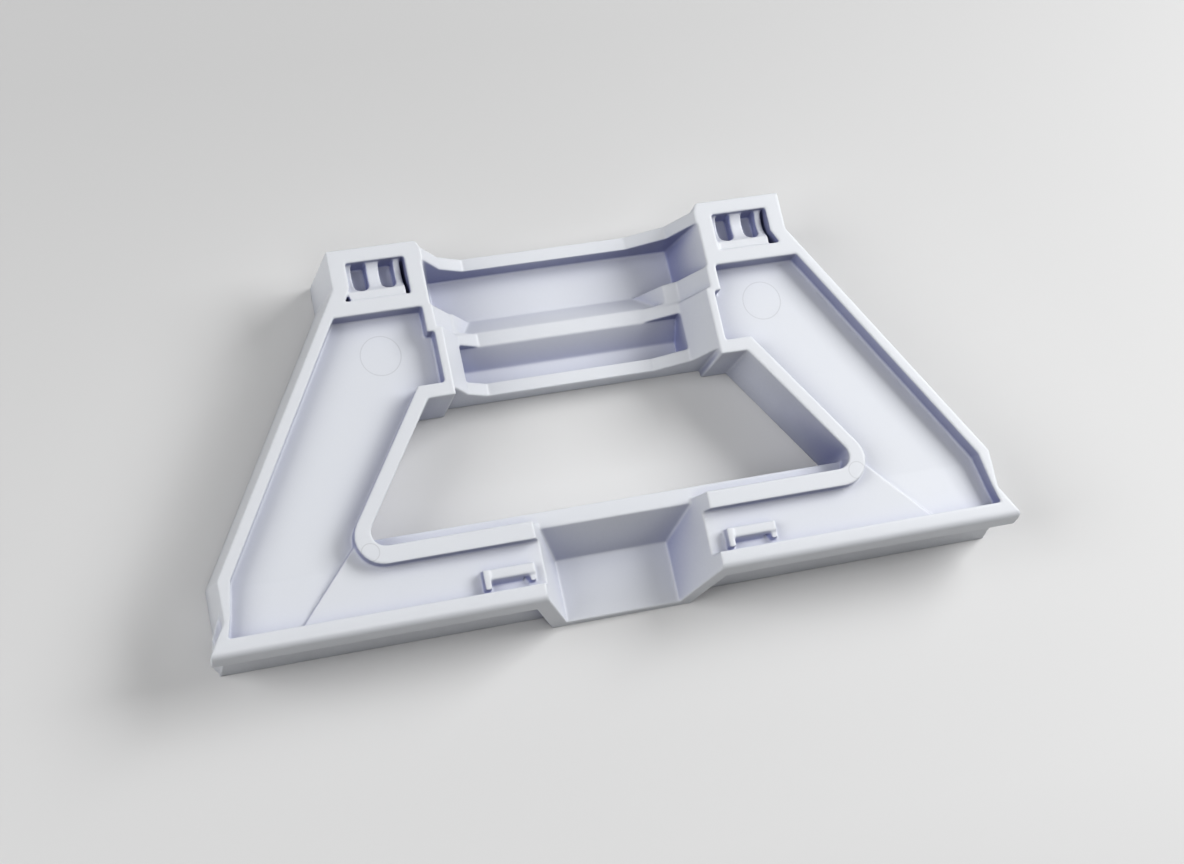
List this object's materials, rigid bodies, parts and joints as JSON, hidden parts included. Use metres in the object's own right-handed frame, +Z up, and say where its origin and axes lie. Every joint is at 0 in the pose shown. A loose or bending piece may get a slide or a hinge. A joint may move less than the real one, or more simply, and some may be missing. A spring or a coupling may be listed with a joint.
{
  "type": "kickstand",
  "caption": "Trapezoid plastic kickstand frame with hinge blocks at its narrow end, a stepped crossbar, recessed legs, a wide base bar with finger trough and cord hooks",
  "frame": {"origin": "centre of the bounding box in plan, on the table plane that the base and the crossbar rest on", "axes": "X along the wide base bar, Y from the front lip to the hinge blocks, Z up out of the ribbed side"},
  "size_m": [0.246, 0.1176, 0.025],
  "materials": {
    "shell": "fine satin moulded plastic, white with a slightly cool tint"
  },
  "bodies": {
    "root": {"kickstand": "shell"}
  },
  "joints": []
}
